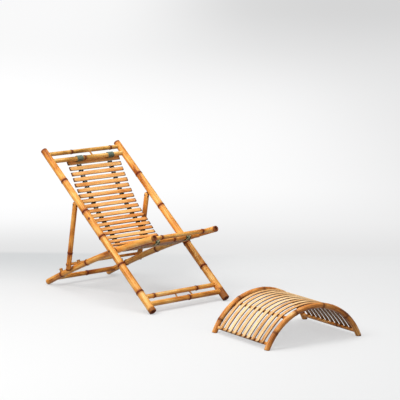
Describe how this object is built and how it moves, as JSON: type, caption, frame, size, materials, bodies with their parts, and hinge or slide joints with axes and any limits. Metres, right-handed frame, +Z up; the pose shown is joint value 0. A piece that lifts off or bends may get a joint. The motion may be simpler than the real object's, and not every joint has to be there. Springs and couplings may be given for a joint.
{
  "type": "folding chaise longue",
  "caption": "Folding bamboo deck chair: two leaning poles, a pivoted seat frame, a swinging rear prop, a hanging mat of lashed slats, and a separate arched slatted footstool.",
  "frame": {"origin": "on the floor, on the chair's mid-plane, below the ends of the two leaning poles at the sitter's feet", "axes": "+X towards the sitter's feet, +Y to the sitter's left, +Z up"},
  "size_m": [2.1423, 0.709, 0.8351],
  "materials": {
    "bamboo": "satin natural bamboo skin with darker swollen rings",
    "split_bamboo": "split bamboo slats, satin",
    "split_bamboo_pale": "pale split bamboo strips, satin",
    "bamboo_brown": "caramel brown bamboo, mottled, satin",
    "peg_wood": "whittled bamboo and hardwood, matt",
    "mat_cord": "dark green twisted cord",
    "lashing_cord": "grey-green cord wound in close turns",
    "nail": "dull steel nail heads"
  },
  "bodies": {
    "main_frame": {"main_pole_right": "bamboo", "main_pole_left": "bamboo", "foot_rail_lower": "bamboo", "foot_rail_upper": "bamboo", "mat_rail": "bamboo", "top_rail": "bamboo", "top_spacer_peg": "peg_wood", "foot_spacer_peg_right": "peg_wood", "foot_spacer_peg_left": "peg_wood", "hinge_tongue_right": "peg_wood", "hinge_tongue_left": "peg_wood", "pivot_dowel_right": "peg_wood", "pivot_dowel_left": "peg_wood", "pivot_washer_right": "peg_wood", "pivot_washer_left": "peg_wood", "upper_lashing_right": "lashing_cord", "upper_lashing_left": "lashing_cord", "back_slats": "split_bamboo", "back_mat_cords": "mat_cord", "bend_slats": "split_bamboo", "bend_mat_cords": "mat_cord"},
    "prop_frame": {"prop_strut_right": "bamboo", "prop_strut_left": "bamboo", "prop_crossbar": "bamboo", "prop_hinge_pin_right": "peg_wood", "prop_hinge_pin_left": "peg_wood"},
    "seat_frame": {"seat_rail_right": "bamboo", "seat_rail_left": "bamboo", "front_crossrail": "bamboo", "mat_crossrail": "bamboo", "rear_crossrail": "bamboo", "rear_stop_peg_right": "peg_wood", "rear_stop_peg_left": "peg_wood", "front_stop_peg_right": "peg_wood", "front_stop_peg_left": "peg_wood", "seat_slats": "split_bamboo", "seat_mat_cords": "mat_cord", "lower_lashing_right": "lashing_cord", "lower_lashing_left": "lashing_cord"},
    "footstool": {"stool_arch_rear": "bamboo_brown", "stool_arch_front": "bamboo_brown", "stool_rail_outer_right": "bamboo_brown", "stool_rail_inner_right": "bamboo_brown", "stool_rail_inner_left": "bamboo_brown", "stool_rail_outer_left": "bamboo_brown", "stool_strip_01": "split_bamboo_pale", "stool_strip_02": "split_bamboo_pale", "stool_strip_03": "split_bamboo_pale", "stool_strip_04": "split_bamboo_pale", "stool_strip_05": "split_bamboo_pale", "stool_strip_06": "split_bamboo_pale", "stool_strip_07": "split_bamboo_pale", "stool_strip_08": "split_bamboo_pale", "stool_strip_09": "split_bamboo_pale", "stool_strip_10": "split_bamboo_pale", "stool_nails": "nail"}
  },
  "joints": [
    {"name": "seat_fold", "type": "hinge", "parent": "main_frame", "child": "seat_frame", "pos_m": [-0.36719, 0, 0.30976], "axis": [0, 1, 0], "range_deg": [0, 47.5], "deforming": ["bend_slats", "bend_mat_cords"]},
    {"name": "prop_swing", "type": "hinge", "parent": "main_frame", "child": "prop_frame", "pos_m": [-0.71047, 0, 0.53354], "axis": [0, 1, 0], "range_deg": [0, 116]},
    {"name": "footstool_slide", "type": "slide", "parent": "main_frame", "child": "footstool", "axis": [1, 0, 0], "range_m": [-0.3, 0.3]}
  ],
  "couplings": [
    {"joint": "prop_swing", "follows": "seat_fold", "ratio": 2.44}
  ]
}
